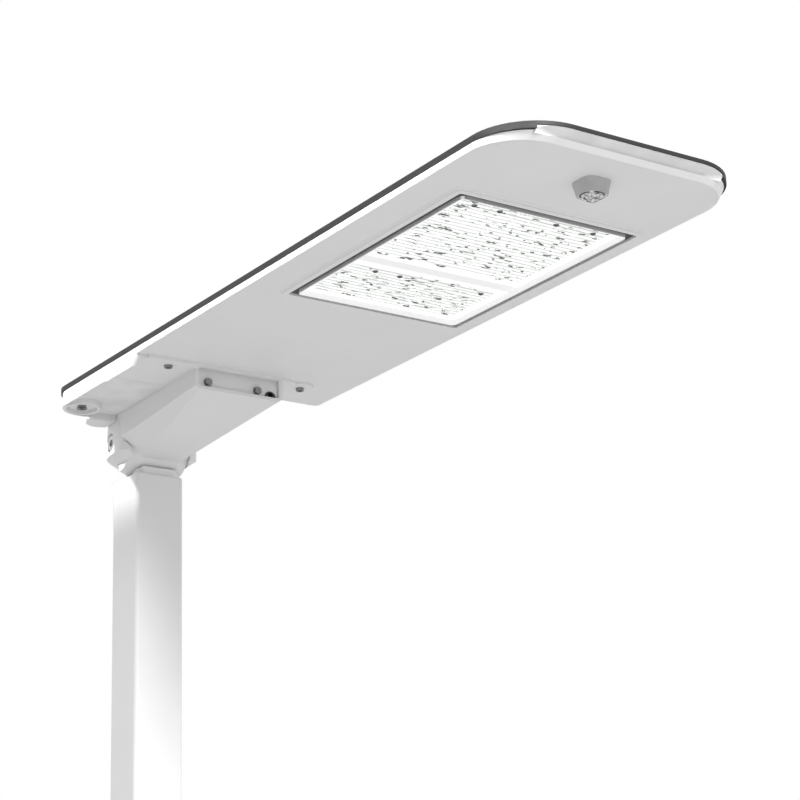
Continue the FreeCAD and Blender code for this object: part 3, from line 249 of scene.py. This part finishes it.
def prismatic_lens(name, plate, front_margin):
    """Lit frosted lens: broken prism lines along Y and dark flecks, inside a plain margin."""
    low, high = extent(plate)
    x0, x1 = low.x + OPTIC_MARGIN, high.x - front_margin
    y0, y1 = low.y + OPTIC_MARGIN_MINUS_Y, high.y - OPTIC_MARGIN_PLUS_Y
    material, tree, bsdf = shader(name, LENS_WHITE, 0.3)
    area = calculate(tree, "MULTIPLY", within(tree, "X", x0, x1), within(tree, "Y", y0, y1))
    phase = calculate(tree, "MULTIPLY", axis_value(tree, "X"), 2 * math.pi / RIB_PITCH)
    wobble = calculate(tree, "MULTIPLY", noise(tree, 55.0, 4.0), 1.6)
    lines = calculate(tree, "SINE", calculate(tree, "ADD", phase, wobble))
    line = calculate(tree, "MULTIPLY", calculate(tree, "GREATER_THAN", lines, 0.35), 0.5)
    fleck = stretched_noise(tree, (220.0, 70.0, 1.0), 1.0, 4.0)
    spots = calculate(tree, "GREATER_THAN", fleck, FLECK_LEVEL)
    unbroken = calculate(tree, "LESS_THAN", fleck, LINE_BREAK_LEVEL)
    dark = calculate(tree, "MAXIMUM", calculate(tree, "MULTIPLY", line, unbroken), spots)
    shade = calculate(tree, "MULTIPLY", area, dark)
    glow = blend_colors(tree, shade, GLOW, (0.1, 0.11, 0.1), 0.0, 1.0)
    tree.links.new(glow, bsdf.inputs["Emission Color"])
    bsdf.inputs["Emission Strength"].default_value = LENS_GLOW
    tree.links.new(blend_colors(tree, shade, (0.55, 0.56, 0.55), (0.12, 0.12, 0.12), 0.0, 1.0),
                   bsdf.inputs["Base Color"])
    return material


def painted_glow_module(name):
    """Painted module frame; its inner walls and centre bar glow, painted light standing in for the light of
    the lenses.
    """
    material = powder_coat(name, (0.55, 0.55, 0.55))
    tree = material.node_tree
    bsdf = tree.nodes["Principled BSDF"]
    low = extent("lens_plate_rear")[0]
    high = extent("lens_plate_front")[1]
    inner = calculate(tree, "MULTIPLY", within(tree, "X", low.x - PAINTED_GLOW_EDGE, high.x + PAINTED_GLOW_EDGE),
                      within(tree, "Y", low.y - PAINTED_GLOW_EDGE, high.y + PAINTED_GLOW_EDGE))
    # painted light: the frame glows over the lens area though it is no lamp
    tree.links.new(calculate(tree, "MULTIPLY", inner, MODULE_PAINTED_GLOW), bsdf.inputs["Emission Strength"])
    bsdf.inputs["Emission Color"].default_value = (*GLOW, 1.0)
    return material


def solar_cell(name):
    """Dark blue cell with silver busbars along X and fine fingers along Y."""
    material, tree, bsdf = shader(name, CELL_BLUE, 0.2)
    bar = calculate(tree, "GREATER_THAN", wave(tree, "Y", BUSBAR_PITCH), 0.985)
    finger = calculate(tree, "GREATER_THAN", wave(tree, "X", FINGER_PITCH), 0.9)
    silver = calculate(tree, "MAXIMUM", bar, calculate(tree, "MULTIPLY", finger, 0.3))
    tone = blend_colors(tree, silver, CELL_BLUE, (0.6, 0.6, 0.62), 0.0, 1.0)
    tree.links.new(tone, bsdf.inputs["Base Color"])
    return material


def sensor_window(name):
    """Milky sensor lens with a cell pattern."""
    material, tree, bsdf = shader(name, (0.5, 0.5, 0.5), 0.25)
    cells = tree.nodes.new("ShaderNodeTexVoronoi")
    cells.inputs["Scale"].default_value = 260.0
    tree.links.new(object_point(tree), cells.inputs["Vector"])
    tone = blend_colors(tree, cells.outputs["Distance"], (0.75, 0.75, 0.75), (0.1, 0.1, 0.1), 0.35, 0.75)
    tree.links.new(tone, bsdf.inputs["Base Color"])
    bump(tree, bsdf, cells.outputs["Distance"], 0.6, 0.0008)
    return material


def glowing(name, color, strength):
    """Lit LED phosphor with a slight grain."""
    material, tree, bsdf = shader(name, color, 0.4)
    bsdf.inputs["Emission Strength"].default_value = strength
    warm = tuple(channel * 0.94 for channel in color)
    tint = blend_colors(tree, noise(tree, 500.0), warm, color)
    tree.links.new(tint, bsdf.inputs["Base Color"])
    tree.links.new(tint, bsdf.inputs["Emission Color"])
    return material


LOOKS = {
    "tray": powder_coat("tray_powder_coat", WHITE),
    # the rim gets a lighter copy of the white powder coat: painted light for its brightly lit sides
    "side_rim": powder_coat("rim_powder_coat_painted_light", (0.9, 0.9, 0.9)),
    "tilt_bracket": powder_coat("bracket_powder_coat", WHITE, 700.0),
    "front_plate": powder_coat("front_plate_powder_coat", WHITE, 700.0),
    "coupler": powder_coat("coupler_powder_coat", WHITE, 700.0),
    "pole_top_section": powder_coat("pole_powder_coat", WHITE, 800.0),
    "rear_cover": moulded("rear_cover_plastic", WHITE, 0.45),
    "nose_cap": moulded("nose_plastic", (0.88, 0.88, 0.88), 0.3),
    "panel_frame": moulded("frame_black", (0.008, 0.008, 0.009), 0.6),
    "panel_glass": clear("panel_glass", (0.97, 0.99, 1.0), 0.03, 1.5),
    "panel_backsheet": moulded("backsheet_black", (0.02, 0.02, 0.025), 0.5),
    "solar_cells": solar_cell("solar_cell"),
    "window_gasket": moulded("gasket_rubber", (0.08, 0.08, 0.085), 0.8),
    "led_module_frame": painted_glow_module("module_powder_coat_painted_glow"),
    "lens_plate_rear": prismatic_lens("lens_rear", "lens_plate_rear", REAR_LENS_FRONT_MARGIN),
    "lens_plate_front": prismatic_lens("lens_front", "lens_plate_front", OPTIC_MARGIN),
    "led_board_rear": moulded("led_board_mask_rear", BOARD_WHITE, 0.4),
    "led_board_front": moulded("led_board_mask_front", BOARD_WHITE, 0.4),
    "leds_rear": glowing("led_phosphor_rear", LED_WHITE, 1.0),
    "leds_front": glowing("led_phosphor_front", LED_WHITE, 1.0),
    "lens_screws": metal("lens_screw_steel", (0.2, 0.2, 0.21), 0.35),
    "heat_spreader": metal("spreader_aluminium", (0.75, 0.75, 0.76), 0.4),
    "sensor_boss": moulded("sensor_housing", (0.5, 0.5, 0.5), 0.4),
    "sensor_lens": sensor_window("sensor_lens"),
    "sensor_board": moulded("sensor_board_mask", BOARD_GREEN, 0.4),
    "front_bolts": metal("front_bolt_steel", SCREW_GREY, 0.35),
    "flange_screws": metal("flange_screw_steel", SCREW_GREY, 0.35),
    "rear_cover_screw": metal("cover_screw_steel", SCREW_GREY, 0.35),
    "pole_screws": metal("pole_screw_steel", SCREW_GREY, 0.35),
    "pivot_bolt": metal("pivot_bolt_zinc", ZINC, 0.3),
    "pivot_nut": metal("pivot_nut_zinc", ZINC, 0.3),
    "pivot_washers": metal("pivot_washer_zinc", ZINC, 0.3),
    "wire_grommet": moulded("grommet_rubber", (0.04, 0.04, 0.04), 0.7),
    "battery_cells": moulded("battery_wrap", (0.08, 0.2, 0.4), 0.3),
    "battery_pad": moulded("pad_foam", (0.15, 0.15, 0.15), 0.9),
    "battery_straps": metal("strap_aluminium", (0.7, 0.7, 0.7), 0.4),
    "controller_board": moulded("controller_mask", BOARD_GREEN, 0.4),
    "controller_parts": moulded("component_black", (0.04, 0.04, 0.04), 0.4),
    "terminal_block": moulded("terminal_green", (0.06, 0.35, 0.12), 0.4),
    "controller_standoffs": moulded("standoff_nylon", (0.8, 0.8, 0.75), 0.5),
}


def dress(name, material):
    """Give a node its one material."""
    mesh = nodes[name].data
    mesh.materials.clear()
    mesh.materials.append(material)


for name, material in LOOKS.items():
    dress(name, material)


# ---- small pieces that ride the lamp head -------------------------------------
RING_STEPS = 40
BEAD_SIDES = 8


def ring_bead(name, centre, radius, bead, material):
    """Round bead bent into a flat ring, for example a seal around a boss."""
    points, faces = [], []
    for step in range(RING_STEPS):
        turn = 2 * math.pi * step / RING_STEPS
        for side in range(BEAD_SIDES):
            tilt = 2 * math.pi * side / BEAD_SIDES
            reach = radius + bead * math.cos(tilt)
            points.append((centre[0] + reach * math.cos(turn), centre[1] + reach * math.sin(turn),
                           centre[2] + bead * math.sin(tilt)))
            here, after = step * BEAD_SIDES, (step + 1) % RING_STEPS * BEAD_SIDES
            beside = (side + 1) % BEAD_SIDES
            faces.append((here + side, after + side, after + beside, here + beside))
    mesh = bpy.data.meshes.new(name)
    mesh.from_pydata(points, [], faces)
    for face in mesh.polygons:
        face.use_smooth = True
    mesh.materials.append(material)
    piece = bpy.data.objects.new(name, mesh)
    bpy.context.scene.collection.objects.link(piece)
    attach(piece, "head")


def underside(name, below=0.0):
    """Centre of a node's lowest level, or a point below it."""
    low, high = extent(name)
    return (low.x + high.x) / 2, (low.y + high.y) / 2, low.z - below


ring_bead("sensor_seal", underside("sensor_boss"), 0.0146, 0.0008,
          moulded("seal_black", (0.01, 0.01, 0.01), 0.6))
ring_bead("cover_screw_seal", underside("rear_cover_screw", 0.0005), 0.0072, 0.0006,
          moulded("seal_grey", (0.05, 0.05, 0.05), 0.6))


# ---- stage and light ---------------------------------------------------------
FLOOR_Z = -1.2
FLOOR_HALF = 12.0
WALL_BRIGHT, WALL_DIM = 1.0, 0.5
WALL_TOWARD = (-0.76, 0.52, 0.39)  # where the studio wall is brightest
WALL_FADE = (-0.5, 0.3)            # dot products with it where the wall is dimmest and brightest


def make_floor():
    """Plain pale floor, far below the lamp."""
    mesh = bpy.data.meshes.new("floor")
    signs = ((-1, -1), (1, -1), (1, 1), (-1, 1))
    corners = [(x * FLOOR_HALF, y * FLOOR_HALF, FLOOR_Z) for x, y in signs]
    mesh.from_pydata(corners, [], [(0, 1, 2, 3)])
    floor = bpy.data.objects.new("floor", mesh)
    bpy.context.scene.collection.objects.link(floor)
    material, tree, bsdf = shader("floor_paint", (0.54, 0.54, 0.54), 0.8)
    shade = noise(tree, 2.0)
    tone = blend_colors(tree, shade, (0.53, 0.53, 0.53), (0.55, 0.55, 0.55))
    tree.links.new(tone, bsdf.inputs["Base Color"])
    mesh.materials.append(material)


def area_light(name, place, target, width, height, power, beam=180.0):
    """Rectangular light aimed at a target; beam is its spread in degrees."""
    data = bpy.data.lights.new(name, "AREA")
    data.shape = "RECTANGLE"
    data.size = width
    data.size_y = height
    data.spread = math.radians(beam)
    data.energy = power
    light = bpy.data.objects.new(name, data)
    light.location = place
    light.rotation_mode = "QUATERNION"
    light.rotation_quaternion = (Vector(target) - Vector(place)).to_track_quat("-Z", "Y")
    bpy.context.scene.collection.objects.link(light)


def make_world():
    """White studio wall in one direction, fading to a dimmer one on the other side."""
    world = bpy.data.worlds.new("studio")
    world.use_nodes = True
    tree = world.node_tree
    direction = tree.nodes.new("ShaderNodeTexCoord").outputs["Generated"]
    dot = tree.nodes.new("ShaderNodeVectorMath")
    dot.operation = "DOT_PRODUCT"
    dot.inputs[1].default_value = WALL_TOWARD
    tree.links.new(direction, dot.inputs[0])
    fade = tree.nodes.new("ShaderNodeMapRange")
    fade.inputs["From Min"].default_value = WALL_FADE[0]
    fade.inputs["From Max"].default_value = WALL_FADE[1]
    fade.inputs["To Min"].default_value = WALL_DIM
    fade.inputs["To Max"].default_value = WALL_BRIGHT
    tree.links.new(dot.outputs["Value"], fade.inputs["Value"])
    background = tree.nodes["Background"]
    background.inputs["Color"].default_value = (1.0, 1.0, 1.0, 1.0)
    tree.links.new(fade.outputs["Result"], background.inputs["Strength"])
    bpy.context.scene.world = world


make_floor()
make_world()
area_light("side_light", (0.3, -2.4, 2.4), (0.3, -0.1, 0.4), width=1.0, height=1.0, power=4.0)
area_light("edge_light", (0.6, -2.2, 2.38), (0.6, -0.17, 0.745), width=1.5, height=0.04, power=1.5, beam=5.0)
area_light("front_light", (4.2, -0.8, 2.4), (0.04, 0.0, 0.2), width=1.2, height=1.2, power=240.0)
bpy.context.scene.view_settings.view_transform = "Standard"
